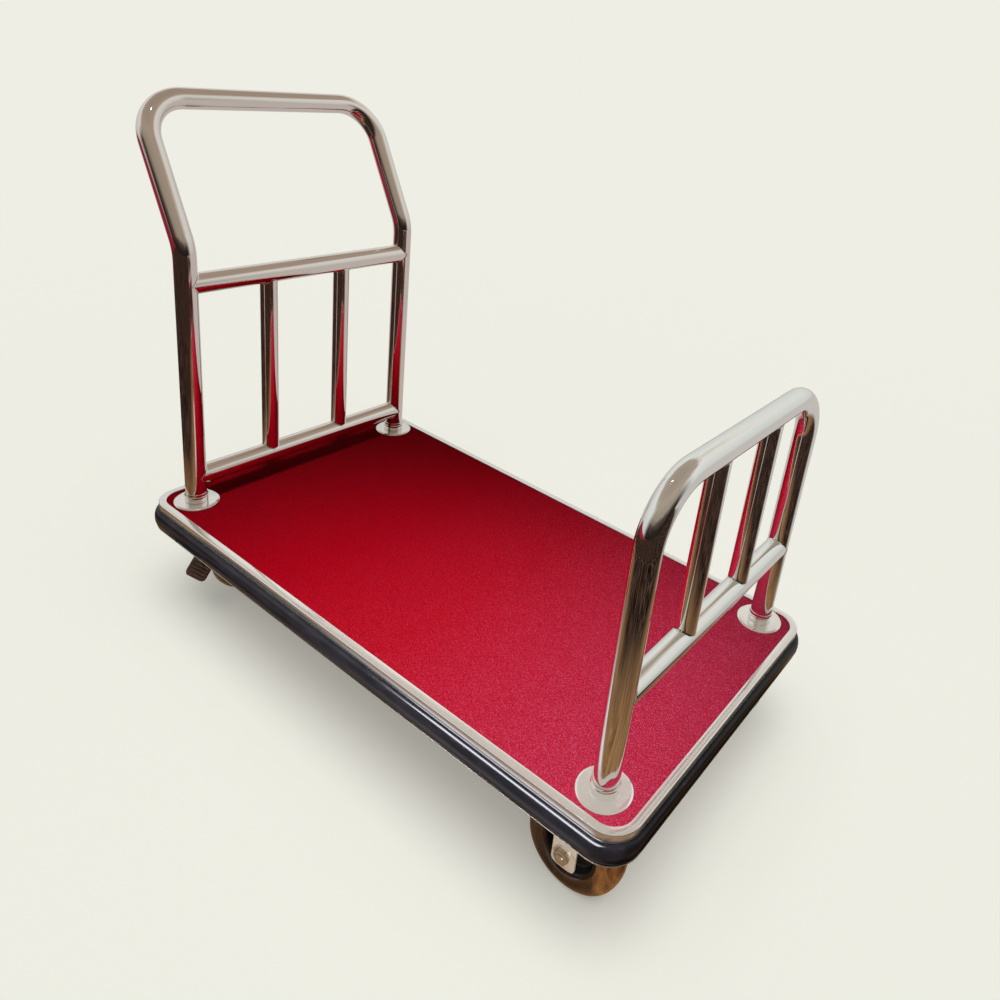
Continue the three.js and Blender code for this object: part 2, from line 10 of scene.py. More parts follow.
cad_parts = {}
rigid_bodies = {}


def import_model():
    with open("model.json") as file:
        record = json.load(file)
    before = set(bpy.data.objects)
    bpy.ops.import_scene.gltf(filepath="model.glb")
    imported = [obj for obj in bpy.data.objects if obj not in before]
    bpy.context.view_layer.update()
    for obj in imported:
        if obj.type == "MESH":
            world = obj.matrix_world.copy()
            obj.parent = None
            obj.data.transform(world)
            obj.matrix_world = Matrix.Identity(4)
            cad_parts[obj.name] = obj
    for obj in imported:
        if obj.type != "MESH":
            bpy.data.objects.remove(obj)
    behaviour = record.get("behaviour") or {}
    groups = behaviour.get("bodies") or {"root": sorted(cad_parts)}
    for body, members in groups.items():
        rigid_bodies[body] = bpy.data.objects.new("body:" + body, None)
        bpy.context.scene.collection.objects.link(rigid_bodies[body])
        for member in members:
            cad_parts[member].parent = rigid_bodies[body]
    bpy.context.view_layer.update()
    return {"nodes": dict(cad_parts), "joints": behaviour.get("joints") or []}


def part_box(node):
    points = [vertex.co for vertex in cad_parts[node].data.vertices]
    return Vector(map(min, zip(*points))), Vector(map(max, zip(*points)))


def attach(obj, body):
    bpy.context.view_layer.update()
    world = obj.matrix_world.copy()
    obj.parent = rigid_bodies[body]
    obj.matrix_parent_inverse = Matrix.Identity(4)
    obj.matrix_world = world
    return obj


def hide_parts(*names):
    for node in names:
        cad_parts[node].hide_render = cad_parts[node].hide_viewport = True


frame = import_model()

MM = 0.001
SIDES = {"near": -1, "far": 1}

# Places and sizes that the frame gives
JOINTS = {joint["name"]: joint for joint in frame["joints"]}


def middle(node):
    low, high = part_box(node)
    return (low + high) / 2


CARPET_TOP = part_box("carpet")[1].z
DECK_CENTRE = middle("carpet")
HANDLE_X = middle("handle_foot_flange_near").x
GUARD_X = middle("guard_foot_flange_near").x
POST_Y = middle("guard_foot_flange_far").y
SPINDLE_Y = middle("guard_spindle_far").y
AXLE_Z = JOINTS["wheel_rigid_near_spin"]["pos_m"][2]
PLATE_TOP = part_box("deck_board")[0].z - 0.3 * MM
PLATE_BOTTOM = PLATE_TOP - 5 * MM

# Sizes of the tubes, their bends and the deck's rim, which part.mjs has too
TUBE_RADIUS = 19 * MM
SPINDLE_RADIUS = 16 * MM
HANDLE_KNEE_RADIUS = 84.4 * MM
HANDLE_CORNER_RADIUS = 77.7 * MM
HANDLE_KNEE = 501.8 * MM
HANDLE_LEAN = 126.8 * MM
GUARD_CORNER_RADIUS = 84.4 * MM
RIM_HALF = Vector((557.5 * MM, 298.5 * MM))
RIM_CORNER = 46.5 * MM


# Materials


class Nodes:
    """A node tree with the few helpers that the materials and the world share."""

    def __init__(self, tree, space):
        self.tree = tree
        self.place = tree.nodes.new("ShaderNodeTexCoord").outputs[space]

    def node(self, kind, inputs=(), **settings):
        made = self.tree.nodes.new(kind)
        for name, value in settings.items():
            setattr(made, name, value)
        for key, value in dict(inputs).items():
            if isinstance(value, bpy.types.NodeSocket):
                self.tree.links.new(value, made.inputs[key])
            else:
                made.inputs[key].default_value = value
        return made

    def split(self):
        made = self.node("ShaderNodeSeparateXYZ", {0: self.place})
        return made.outputs["X"], made.outputs["Y"], made.outputs["Z"]

    def stretched(self, scale):
        return self.node("ShaderNodeMapping", {"Vector": self.place, "Scale": scale}).outputs[0]

    def noise(self, scale, detail=4, roughness=0.6, vector=None, distortion=0.0):
        inputs = {
            "Vector": vector or self.place,
            "Scale": scale,
            "Detail": detail,
            "Roughness": roughness,
            "Distortion": distortion,
        }
        return self.node("ShaderNodeTexNoise", inputs).outputs["Fac"]

    def ramp(self, value, *stops):
        made = self.node("ShaderNodeValToRGB", {"Fac": value})
        elements = made.color_ramp.elements
        while len(elements) < len(stops):
            elements.new(0.5)
        for element, (place, color) in zip(elements, stops):
            element.position = place
            element.color = (*color, 1)
        return made.outputs["Color"]

    def range(self, value, low, high, to_low=0.0, to_high=1.0):
        inputs = {
            "Value": value,
            "From Min": low,
            "From Max": high,
            "To Min": to_low,
            "To Max": to_high,
        }
        return self.node("ShaderNodeMapRange", inputs).outputs["Result"]

    def math(self, operation, a, b=0.0):
        return self.node("ShaderNodeMath", {0: a, 1: b}, operation=operation).outputs[0]

    def vector_math(self, operation, a, b=(0, 0, 0)):
        made = self.node("ShaderNodeVectorMath", {0: a, 1: b}, operation=operation)
        return made.outputs["Value"]

    def mix(self, share, a, b):
        made = self.node("ShaderNodeMix", {0: share}, data_type="RGBA")
        for socket, value in zip((made.inputs[6], made.inputs[7]), (a, b)):
            if isinstance(value, bpy.types.NodeSocket):
                self.tree.links.new(value, socket)
            else:
                socket.default_value = (*value, 1)
        return made.outputs[2]

    def mix_shader(self, share, a, b):
        return self.node("ShaderNodeMixShader", {0: share, 1: a, 2: b}).outputs[0]


class Shader(Nodes):
    """A Principled material."""

    def __init__(self, name, color, roughness, metallic=0.0):
        self.material = bpy.data.materials.new(name)
        self.material.use_nodes = True
        super().__init__(self.material.node_tree, "Object")
        self.surface = self.tree.nodes["Principled BSDF"]
        self.set(Base_Color=(*color, 1), Roughness=roughness, Metallic=metallic)

    def set(self, **values):
        for name, value in values.items():
            self.surface.inputs[name.replace("_", " ")].default_value = value

    def link(self, output, name):
        self.tree.links.new(output, self.surface.inputs[name])

    def bump(self, height, strength, distance):
        inputs = {"Height": height, "Strength": strength, "Distance": distance}
        self.link(self.node("ShaderNodeBump", inputs).outputs["Normal"], "Normal")


def chrome():
    """Mirror-polished tube with a haze of handling and fine specks; its warmer tint at the handle
    is a painted reflection.
    """
    made = Shader("chrome", (0.84, 0.81, 0.78), 0.06, 1)
    haze = made.noise(9, 5, 0.65)
    specks = made.noise(260, 2, 0.5)
    marks = {0: specks, 1: 0.25, 2: haze}
    wear_and_painted_light = made.node("ShaderNodeMath", marks, operation="MULTIPLY_ADD").outputs[0]
    made.link(made.range(wear_and_painted_light, 0.35, 0.95, 0.02, 0.13), "Roughness")
    along = made.split()[0]
    # Warmer, pinker tint towards the handle end, cooler towards the guard: painted reflection.
    painted_reflection_tint_by_end = made.range(along, -0.35, 0.35)
    warm = made.mix(haze, (0.76, 0.70, 0.655), (0.84, 0.785, 0.745))
    cool = made.mix(haze, (0.84, 0.845, 0.825), (0.92, 0.925, 0.905))
    made.link(made.mix(painted_reflection_tint_by_end, warm, cool), "Base Color")
    made.bump(made.noise(14, 2, 0.4), 0.05, 0.002)
    return made.material


def trim_steel():
    """Polished sheet, a little duller than the tube."""
    made = Shader("trim_steel", (0.88, 0.86, 0.83), 0.1, 0.8)
    made.set(Specular_IOR_Level=0.7)
    haze = made.noise(16, 5, 0.6)
    scratches = made.noise(90, 3, 0.7, made.stretched((0.15, 1, 1)))
    both = made.math("MULTIPLY", haze, scratches)
    made.link(made.range(both, 0.12, 0.42, 0.07, 0.24), "Roughness")
    made.link(made.mix(haze, (0.84, 0.82, 0.79), (0.93, 0.92, 0.90)), "Base Color")
    made.bump(made.noise(7, 2, 0.4), 0.04, 0.002)
    return made.material


def carpet():
    """Short crimson loops in fine ribs across the deck, painted paler and pinker towards the guard
    with painted fibre highlights there, and with painted shade in the gaps between the loops.
    """
    made = Shader("carpet", (0.30, 0.004, 0.014), 0.85)
    made.set(Specular_IOR_Level=0.04)
    along = made.split()[0]
    loops = {"Vector": made.stretched((1, 0.5, 1)), "Scale": 640}
    loops = made.node("ShaderNodeTexVoronoi", loops).outputs["Distance"]
    tufts = made.range(loops, 0.1, 0.75, 1, 0)
    fleck = made.noise(1000, 2, 0.6, made.stretched((1, 0.38, 1)))
    # Darker crimson between the loops, where the pile is low: painted shade in the gaps.
    deep = made.mix(tufts, (0.26, 0.0008, 0.004), (0.53, 0.0022, 0.015))
    # Paler, pinker crimson towards the guard: painted light.
    wear_and_painted_light = made.mix(tufts, (0.25, 0.011, 0.030), (0.55, 0.022, 0.060))
    base = made.mix(made.range(along, 0.12, 0.5), deep, wear_and_painted_light)
    # Pink fibre tips that grow towards the guard: painted highlights.
    painted_fibre_highlights = made.math("MULTIPLY", made.range(fleck, 0.52, 0.68), made.range(along, -0.15, 0.5))
    with_fibre_highlights = made.mix(made.math("MULTIPLY", painted_fibre_highlights, 0.52), base, (0.84, 0.19, 0.36))
    rubbed = made.range(made.noise(55, 4, 0.65), 0.35, 0.7, 0.0, 0.3)
    made.link(made.mix(rubbed, with_fibre_highlights, (0.34, 0.006, 0.018)), "Base Color")
    height = made.math("ADD", tufts, made.math("MULTIPLY", fleck, 0.6))
    made.bump(height, 0.9, 0.0012)
    return made.material


def bumper_rubber():
    """Satin black rubber with fine scuffs."""
    made = Shader("bumper_rubber", (0.003, 0.003, 0.0035), 0.25)
    made.set(Specular_IOR_Level=0.2)
    scuffs = made.noise(70, 5, 0.7, made.stretched((0.25, 1, 1)))
    made.link(made.range(scuffs, 0.35, 0.7, 0.11, 0.22), "Roughness")
    stops = ((0.45, (0.0025, 0.0025, 0.003)), (0.75, (0.006, 0.005, 0.006)))
    made.link(made.ramp(scuffs, *stops), "Base Color")
    made.bump(made.noise(900, 3, 0.6), 0.04, 0.0004)
    return made.material


def plywood():
    """The board's underside: veneer grain along the deck."""
    made = Shader("plywood", (0.42, 0.29, 0.17), 0.7)
    along = made.stretched((0.7, 12, 12))
    grain = made.noise(9, 6, 0.65, along, 0.6)
    fine = made.noise(60, 4, 0.7, along)
    both = made.math("ADD", made.math("MULTIPLY", grain, 0.7), made.math("MULTIPLY", fine, 0.3))
    stops = ((0.3, (0.20, 0.115, 0.055)), (0.55, (0.42, 0.28, 0.155)), (0.75, (0.55, 0.40, 0.25)))
    made.link(made.ramp(both, *stops), "Base Color")
    made.bump(both, 0.3, 0.0006)
    return made.material


def frame_paint():
    """Semi-gloss black paint with a slight orange peel and dust."""
    made = Shader("frame_paint", (0.02, 0.02, 0.022), 0.4)
    dust = made.noise(18, 5, 0.65)
    stops = ((0.45, (0.018, 0.018, 0.02)), (0.8, (0.07, 0.065, 0.058)))
    made.link(made.ramp(dust, *stops), "Base Color")
    made.link(made.range(dust, 0.3, 0.7, 0.32, 0.55), "Roughness")
    made.bump(made.noise(420, 2, 0.5), 0.15, 0.0003)
    return made.material


def plated_steel(name, dull, bright, metallic):
    """Plated sheet, clouded and finely scratched."""
    made = Shader(name, bright, 0.34, metallic)
    cloud = made.noise(38, 5, 0.65)
    scratches = made.noise(240, 3, 0.75, made.stretched((1, 1, 0.12)))
    made.link(made.mix(made.range(cloud, 0.35, 0.65), dull, bright), "Base Color")
    both = made.math("MULTIPLY", cloud, scratches)
    made.link(made.range(both, 0.1, 0.4, 0.22, 0.45), "Roughness")
    made.bump(scratches, 0.06, 0.0003)
    return made.material


def tyre_rubber():
    """Glossy dark elastomer, marbled with amber, with road dust dulling the tread. Painted shade
    darkens it most at the handle end, and painted light brightens the amber on the guard-end side
    of the rigid tyres.
    """
    made = Shader("tyre", (0.10, 0.04, 0.018), 0.2)
    made.set(Coat_Weight=0.8, Coat_Roughness=0.08, Specular_IOR_Level=0.6)
    along = made.split()[0]
    # Shifts the marble darker, most of all at the handle end: painted shade on the swivel tyres.
    painted_shade_by_end = made.range(along, -0.2, 0.2, -0.3, -0.16)
    # Brighter amber on the guard-end side of the rigid tyres: painted light.
    with_painted_light = made.math("ADD", painted_shade_by_end, made.range(along, 0.47, 0.57, -0.06, 0.32))
    marble = made.noise(15, 5, 0.6, made.stretched((1.6, 1.2, 0.7)), 0.7)
    amber = made.math("ADD", marble, with_painted_light)
    stops = (
        (0.38, (0.012, 0.006, 0.004)),
        (0.52, (0.06, 0.024, 0.009)),
        (0.62, (0.17, 0.066, 0.018)),
        (0.78, (0.36, 0.165, 0.055)),
    )
    made.link(made.ramp(amber, *stops), "Base Color")
    made.link(made.range(made.noise(120, 4, 0.7), 0.35, 0.7, 0.12, 0.34), "Roughness")
    made.bump(made.noise(180, 4, 0.6), 0.08, 0.0004)
    return made.material


def hub_black():
    """Moulded black nylon, fine-grained."""
    made = Shader("hub", (0.014, 0.013, 0.013), 0.34)
    dust = made.noise(45, 4, 0.6)
    stops = ((0.5, (0.012, 0.011, 0.011)), (0.8, (0.045, 0.038, 0.032)))
    made.link(made.ramp(dust, *stops), "Base Color")
    made.link(made.range(dust, 0.3, 0.7, 0.28, 0.5), "Roughness")
    made.bump(made.noise(700, 2, 0.5), 0.15, 0.0003)
    return made.material


def dark_hole():
    """Painted shade: a dark disc that stands in for the shadowed inside of a vent hole."""
    made = Shader("dark_hole", (0.01, 0.01, 0.01), 0.6)
    stops = ((0.4, (0.006, 0.006, 0.006)), (0.7, (0.02, 0.018, 0.016)))
    made.link(made.ramp(made.noise(300), *stops), "Base Color")
    return made.material


MATERIALS = {
    "chrome": chrome(),
    "trim_steel": trim_steel(),
    "carpet": carpet(),
    "bumper_rubber": bumper_rubber(),
    "plywood": plywood(),
    "frame_paint": frame_paint(),
    "caster_steel": plated_steel("caster_steel", (0.70, 0.64, 0.56), (0.92, 0.88, 0.81), 0.45),
    "tyre": tyre_rubber(),
    "hub": hub_black(),
}
PAINTED_HOLE_SHADE = dark_hole()
PEDAL_STEEL = plated_steel("pedal_steel", (0.009, 0.005, 0.005), (0.18, 0.10, 0.08), 0.85)
# A darker copy of the caster steel for the axle bolts and nuts: painted shade.
AXLE_STEEL = plated_steel("axle_steel", (0.30, 0.22, 0.15), (0.66, 0.56, 0.44), 0.7)


# Making pieces


def add_piece(name, mesh_data, body, slot, replaced=(), sharp=35, bevel=0.0, material=None):
    """A smooth-shaded mesh that rides on a body. Edges sharper than sharp degrees stay crisp."""
    vertices, faces = mesh_data
    limit = math.radians(sharp)
    mesh = bpy.data.meshes.new(name)
    mesh.from_pydata([tuple(v) for v in vertices], [], faces)
    tidy = bmesh.new()
    tidy.from_mesh(mesh)
    bmesh.ops.remove_doubles(tidy, verts=tidy.verts, dist=1e-6)
    bmesh.ops.recalc_face_normals(tidy, faces=tidy.faces)
    if bevel:
        edges = [e for e in tidy.edges if e.is_manifold and e.calc_face_angle(0) > limit]
        shape = {"segments": 2, "profile": 0.5, "affect": "EDGES", "clamp_overlap": True}
        bmesh.ops.bevel(tidy, geom=edges, offset=bevel, **shape)
    for face in tidy.faces:
        face.smooth = True
    for edge in tidy.edges:
        edge.smooth = edge.is_manifold and edge.calc_face_angle(0) < limit
    tidy.to_mesh(mesh)
    tidy.free()
    mesh.materials.append(material or MATERIALS[slot])
    piece = bpy.data.objects.new(name, mesh)
    bpy.context.scene.collection.objects.link(piece)
    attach(piece, body)
    if replaced:
        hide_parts(*replaced)
    return piece


def ring_faces(rings, count, closed=True):
    """Quads between neighbouring rings of count points; closed joins the last ring to the first."""
    faces = []
    for ring in range(rings if closed else rings - 1):
        here, there = ring * count, (ring + 1) % rings * count
        for i in range(count):
            j = (i + 1) % count
            faces.append((here + i, here + j, there + j, there + i))
    return faces


def grid_faces(rows, columns):
    """Quads of a sheet of rows by columns cells."""
    width = columns + 1
    return [
        (r * width + c, r * width + c + 1, (r + 1) * width + c + 1, (r + 1) * width + c)
        for r in range(rows)
        for c in range(columns)
    ]


def bend_points(before, corner, after, radius, steps):
    """Points on the arc that rounds a corner."""
    back = (before - corner).normalized()
    ahead = (after - corner).normalized()
    half = back.angle(ahead) / 2
    centre = corner + (back + ahead).normalized() * (radius / math.sin(half))
    arm = corner + back * (radius / math.tan(half)) - centre
    axis = ahead.cross(back)
    sweep = math.pi - 2 * half
    return [centre + Matrix.Rotation(sweep * i / steps, 3, axis) @ arm for i in range(steps + 1)]


def bent_path(corners, radii, steps=20):
    corners = [Vector(corner) for corner in corners]
    points = [corners[0]]
    for i, radius in enumerate(radii):
        points += bend_points(corners[i], corners[i + 1], corners[i + 2], radius, steps)
    return points + [corners[-1]]


def tube_mesh(points, radius, sides=48):
    """A tube's skin along points, with its ends closed."""
    directions = []
    for i in range(len(points)):
        ahead = points[min(i + 1, len(points) - 1)] - points[max(i - 1, 0)]
        directions.append(ahead.normalized())
    across = directions[0].orthogonal().normalized()
    vertices = []
    for i, (point, direction) in enumerate(zip(points, directions)):
        if i:
            across = directions[i - 1].rotation_difference(direction) @ across
        other = direction.cross(across)
        for k in range(sides):
            angle = 2 * math.pi * k / sides
            vertices.append(point + radius * (across * math.cos(angle) + other * math.sin(angle)))
    faces = ring_faces(len(points), sides, closed=False)
    last = (len(points) - 1) * sides
    faces.append(tuple(range(sides)))
    faces.append(tuple(last + k for k in reversed(range(sides))))
    return vertices, faces


def coped_mesh(start, end, radius, host_radius, host_axis, sides=48):
    """A rod whose ends follow the round tubes that it is welded to, with a small weld at each."""
    along = (end - start).normalized()
    side = along.cross(host_axis).normalized()
    weld_width, weld_height = 2.2 * MM, 0.9 * MM
    inside_host = min(radius, host_radius * 0.999)
    steps = [(0.0, weld_height), (0.5, 0.35 * weld_height), (1.0, 0.0), (1.15, 0.0)]
    from_start = [(start, along, *step) for step in steps]
    to_end = [(end, -along, *step) for step in reversed(steps)]
    vertices = []
    for origin, direction, share, swell in from_start + to_end:
        for k in range(sides):
            angle = 2 * math.pi * k / sides
            depth = math.sqrt(host_radius**2 - (math.cos(angle) * inside_host) ** 2)
            point = origin + direction * (depth + share * weld_width)
            out = side * math.cos(angle) + host_axis * math.sin(angle)
            vertices.append(point + out * (radius + swell))
    rings = 2 * len(steps)
    faces = ring_faces(rings, sides, closed=False)
    first, last = len(vertices), len(vertices) + 1
    vertices += [start + along * host_radius, end - along * host_radius]
    for k in range(sides):
        j = (k + 1) % sides
        faces.append((first, j, k))
        faces.append((last, (rings - 1) * sides + k, (rings - 1) * sides + j))
    return vertices, faces


def turned_mesh(profile, place=Matrix.Identity(4), sides=64):
    """A turned solid about its own Z. The profile is (radius, height), and closes on itself."""
    vertices, faces = [], []
    count = len(profile)
    for k in range(sides):
        angle = 2 * math.pi * k / sides
        across, over = math.cos(angle), math.sin(angle)
        vertices += [place @ Vector((r * across, r * over, height)) for r, height in profile]
    for k in range(sides):
        here, there = k * count, (k + 1) % sides * count
        for i in range(count):
            j = (i + 1) % count
            if max(profile[i][0], profile[j][0]) >= 1e-7:
                faces.append((here + i, here + j, there + j, there + i))
    return vertices, faces


def rounded(*corners, steps=4):
    """A closed outline in metres from corners of (x, y, corner radius) in millimetres."""
    spots = [Vector((x * MM, y * MM, 0)) for x, y, _ in corners]
    points = []
    for i, (x, y, radius) in enumerate(corners):
        if not radius:
            points.append((x * MM, y * MM))
            continue
        here, before, after = spots[i], spots[i - 1], spots[(i + 1) % len(spots)]
        half = (before - here).angle(after - here) / 2
        reach = min((before - here).length, (after - here).length) * 0.49
        radius = min(radius * MM, reach * math.tan(half))
        points += [tuple(p[:2]) for p in bend_points(before, here, after, radius, steps)]
    return points


def rim_loop(offset, z, steps=14):
    """Points round the deck's outline, moved outwards by offset."""
    radius = RIM_CORNER + offset
    inner = RIM_HALF - Vector((RIM_CORNER, RIM_CORNER))
    points = []
    for corner, (sx, sy) in enumerate(((1, 1), (-1, 1), (-1, -1), (1, -1))):
        for k in range(steps + 1):
            angle = math.pi / 2 * (corner + k / steps)
            x = DECK_CENTRE.x + sx * inner.x + radius * math.cos(angle)
            y = DECK_CENTRE.y + sy * inner.y + radius * math.sin(angle)
            points.append(Vector((x, y, z)))
    return points


def swept_round_deck(profile):
    """A closed profile of (offset, height above the carpet) run round the deck."""
    vertices = []
    for offset, height in profile:
        loop = rim_loop(offset, CARPET_TOP + height)
        vertices += loop
    return vertices, ring_faces(len(profile), len(loop))


def prism_mesh(outline, low, high, place):
    """An outline in X and Y, raised in Z from low to high, which are in millimetres."""
    count = len(outline)
    vertices = [place @ Vector((x, y, z * MM)) for z in (low, high) for x, y in outline]
    faces = [tuple(reversed(range(count))), tuple(range(count, 2 * count))]
    faces += [(i, (i + 1) % count, count + (i + 1) % count, count + i) for i in range(count)]
    return vertices, faces


def merged(*meshes):
    vertices, faces = [], []
    for more_vertices, more_faces in meshes:
        start = len(vertices)
        vertices += more_vertices
        faces += [tuple(start + i for i in face) for face in more_faces]
    return vertices, faces


# Deck


def add_trim():
    """Bent sheet: rim, skirt, ledge, web and lip, with the flange that carries the board."""
    section = rounded(
        (-13.0, 1.4, 0.5),
        (0.0, 1.4, 2.2),
        (0.0, -14.0, 1.2),
        (-8.0, -14.0, 0.8),
        (-8.0, -48.2, 0.8),
        (5.0, -48.2, 0.6),
        (5.0, -50.0, 0.6),
        (-9.8, -50.0, 1.6),
        (-9.8, -22.4, 0.6),
        (-27.8, -22.4, 0.5),
        (-27.8, -20.6, 0.5),
        (-9.8, -20.6, 0.0),
        (-9.8, -12.2, 0.8),
        (-1.8, -12.2, 0.5),
        (-1.8, -0.4, 0.6),
        (-13.0, -0.4, 0.5),
    )
    add_piece("trim_profile", swept_round_deck(section), "frame", "trim_steel", ["trim_frame"])


def add_bumper():
    """A rubber section with a full round face, flat where it sits in the trim."""
    top, bottom = -14.3, -47.9
    back, lip, proud = -7.7, -1.0, 8.4
    half, mid = (top - bottom) / 2, (top + bottom) / 2
    steps = 22
    face = []
    for k in range(steps + 1):
        angle = math.pi / 2 - math.pi * k / steps
        out = abs(math.cos(angle)) ** 0.8
        up = math.copysign(abs(math.sin(angle)) ** 0.9, math.sin(angle))
        face.append((lip + (proud - lip) * out, mid + half * up))
    profile = [(x * MM, z * MM) for x, z in [*face, (back, bottom), (back, top)]]
    add_piece("bumper_profile", swept_round_deck(profile), "frame", "bumper_rubber", ["bumper"])


def square_to_disc(x, y, flat_x, flat_y):
    """Moves a point of a rectangle's corner square into the quarter disc that rounds it."""
    dx, dy = abs(x) - flat_x, abs(y) - flat_y
    if dx <= 0 or dy <= 0:
        return x, y
    share = max(dx, dy) / math.hypot(dx, dy)
    return math.copysign(flat_x + dx * share, x), math.copysign(flat_y + dy * share, y)


def add_carpet():
    """The pile's top as a fine grid that rises and falls like loops, closed below."""
    low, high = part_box("carpet")
    half_x, half_y = (high.x - low.x) / 2, (high.y - low.y) / 2
    radius = RIM_CORNER - (RIM_HALF.x - half_x)
    pitch = 2.6 * MM
    across_x, across_y = round(2 * half_x / pitch), round(2 * half_y / pitch)
    loop_depth = 0.35 * MM
    edge_roll = 0.8 * MM
    vertices = []
    for j in range(across_y + 1):
        for i in range(across_x + 1):
            x = half_x * (2 * i / across_x - 1)
            y = half_y * (2 * j / across_y - 1)
            x, y = square_to_disc(x, y, half_x - radius, half_y - radius)
            on_edge = i in (0, across_x) or j in (0, across_y)
            loops = noise.noise(Vector((x * 700, y * 700, 0)))
            soft = noise.noise(Vector((x * 60, y * 60, 5)))
            drop = edge_roll if on_edge else loop_depth * (0.6 + 0.6 * loops + 0.3 * soft)
            vertices.append(Vector((DECK_CENTRE.x + x, DECK_CENTRE.y + y, high.z - max(drop, 0))))
    row = across_x + 1
    faces = grid_faces(across_y, across_x)
    rim = list(range(row))
    rim += [j * row + across_x for j in range(1, across_y + 1)]
    rim += [across_y * row + i for i in range(across_x - 1, -1, -1)]
    rim += [j * row for j in range(across_y - 1, 0, -1)]
    start = len(vertices)
    vertices += [Vector((vertices[k].x, vertices[k].y, low.z)) for k in rim]
    count = len(rim)
    for k in range(count):
        n = (k + 1) % count
        faces.append((rim[n], rim[k], start + k, start + n))
    faces.append(tuple(start + k for k in reversed(range(count))))
    pile = add_piece("carpet_pile", (vertices, faces), "frame", "carpet", ["carpet"], sharp=70)


# Handle and guard


def add_posts():
    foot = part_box("handle_tube")[0].z
    radius = TUBE_RADIUS
    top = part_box("handle_tube")[1].z - radius
    knee = CARPET_TOP + HANDLE_KNEE
    back = HANDLE_X - HANDLE_LEAN
    corners = [
        (HANDLE_X, -POST_Y, foot),
        (HANDLE_X, -POST_Y, knee),
        (back, -POST_Y, top),
        (back, POST_Y, top),
        (HANDLE_X, POST_Y, knee),
        (HANDLE_X, POST_Y, foot),
    ]
    side = [HANDLE_KNEE_RADIUS, HANDLE_CORNER_RADIUS]
    path = bent_path(corners, side + side[::-1])
    add_piece("handle_bent_tube", tube_mesh(path, radius), "frame", "chrome", ["handle_tube"])
    guard_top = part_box("guard_tube")[1].z - radius
    corners = [
        (GUARD_X, -POST_Y, foot),
        (GUARD_X, -POST_Y, guard_top),
        (GUARD_X, POST_Y, guard_top),
        (GUARD_X, POST_Y, foot),
    ]
    path = bent_path(corners, [GUARD_CORNER_RADIUS] * 2)
    add_piece("guard_bent_tube", tube_mesh(path, radius), "frame", "chrome", ["guard_tube"])


def add_rail(name, node, x):
    z = middle(node).z
    start, end = Vector((x, -POST_Y, z)), Vector((x, POST_Y, z))
    mesh = coped_mesh(start, end, TUBE_RADIUS, TUBE_RADIUS, Vector((0, 0, 1)))
    add_piece(name, mesh, "frame", "chrome", [node])


def add_rails_and_spindles():
    guard_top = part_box("guard_tube")[1].z - TUBE_RADIUS
    add_rail("handle_cross_tube", "handle_crossbar", HANDLE_X)
    handle_end = ("handle", HANDLE_X, middle("handle_crossbar").z)
    for name, x, top in (handle_end, ("guard", GUARD_X, guard_top)):
        add_rail(f"{name}_low_tube", f"{name}_lower_rail", x)
        low = middle(f"{name}_lower_rail").z
        for side, sign in SIDES.items():
            start, end = (Vector((x, sign * SPINDLE_Y, z)) for z in (low, top))
            mesh = coped_mesh(start, end, SPINDLE_RADIUS, TUBE_RADIUS, Vector((0, 1, 0)))
            node = f"{name}_spindle_{side}"
            add_piece(f"{name}_upright_{side}", mesh, "frame", "chrome", [node])


def add_vent_hole():
    """A dark disc of painted shade for the vent hole by the near end of the guard's lower rail."""
    tilt = math.radians(25)
    out = Vector((math.cos(tilt), 0, math.sin(tilt)))
    rail = Vector((GUARD_X, -POST_Y + 20 * MM, middle("guard_lower_rail").z))
    turn = out.to_track_quat("Z", "Y").to_matrix().to_4x4()
    place = Matrix.Translation(rail + out * (TUBE_RADIUS - 0.6 * MM)) @ turn
    profile = rounded((0, -1, 0), (3, -1, 0), (3, 0.2, 0), (2.4, 0.4, 0), (0, 0.3, 0))
    mesh = turned_mesh(profile, place, 32)
    add_piece("guard_vent_hole", mesh, "frame", "chrome", material=PAINTED_HOLE_SHADE)


def add_feet():
    """Bevelled discs on the carpet, and the collar at the foot of each post."""
    disc = rounded((0, 0, 0), (40, 0, 0.6), (40, 3.4, 0.8), (37, 5, 1.2), (0, 5, 0))
    collar = rounded(
        (19.02, 0, 0), (20.8, 0, 0.5), (20.8, 12, 0.4), (20, 13, 0.4), (20, 18, 0.6), (19.02, 18, 0)
    )
    kinds = (("disc", "flange", disc, "trim_steel"), ("collar", "collar", collar, "chrome"))
    for end in ("handle", "guard"):
        for side in SIDES:
            for label, part, profile, finish in kinds:
                node = f"{end}_foot_{part}_{side}"
                spot = middle(node)
                place = Matrix.Translation((spot.x, spot.y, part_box(node)[0].z))
                mesh = turned_mesh(profile, place, 72)
                look = MATERIALS[finish]
                add_piece(f"{end}_{label}_{side}", mesh, "frame", "chrome", [node], material=look)


# Casters. Each part is made about its own axis with the axle along Y, then put in its place.

SHEET = 4 * MM
LEG_MIDDLE = 32.3 * MM
LEG_HALF_WIDTH = 20.5 * MM
LEG_BELOW_AXLE = 25 * MM
PEDAL_HALF_WIDTH = 25 * MM
AXLE_TO_Y = Matrix.Rotation(-math.pi / 2, 4, "X")


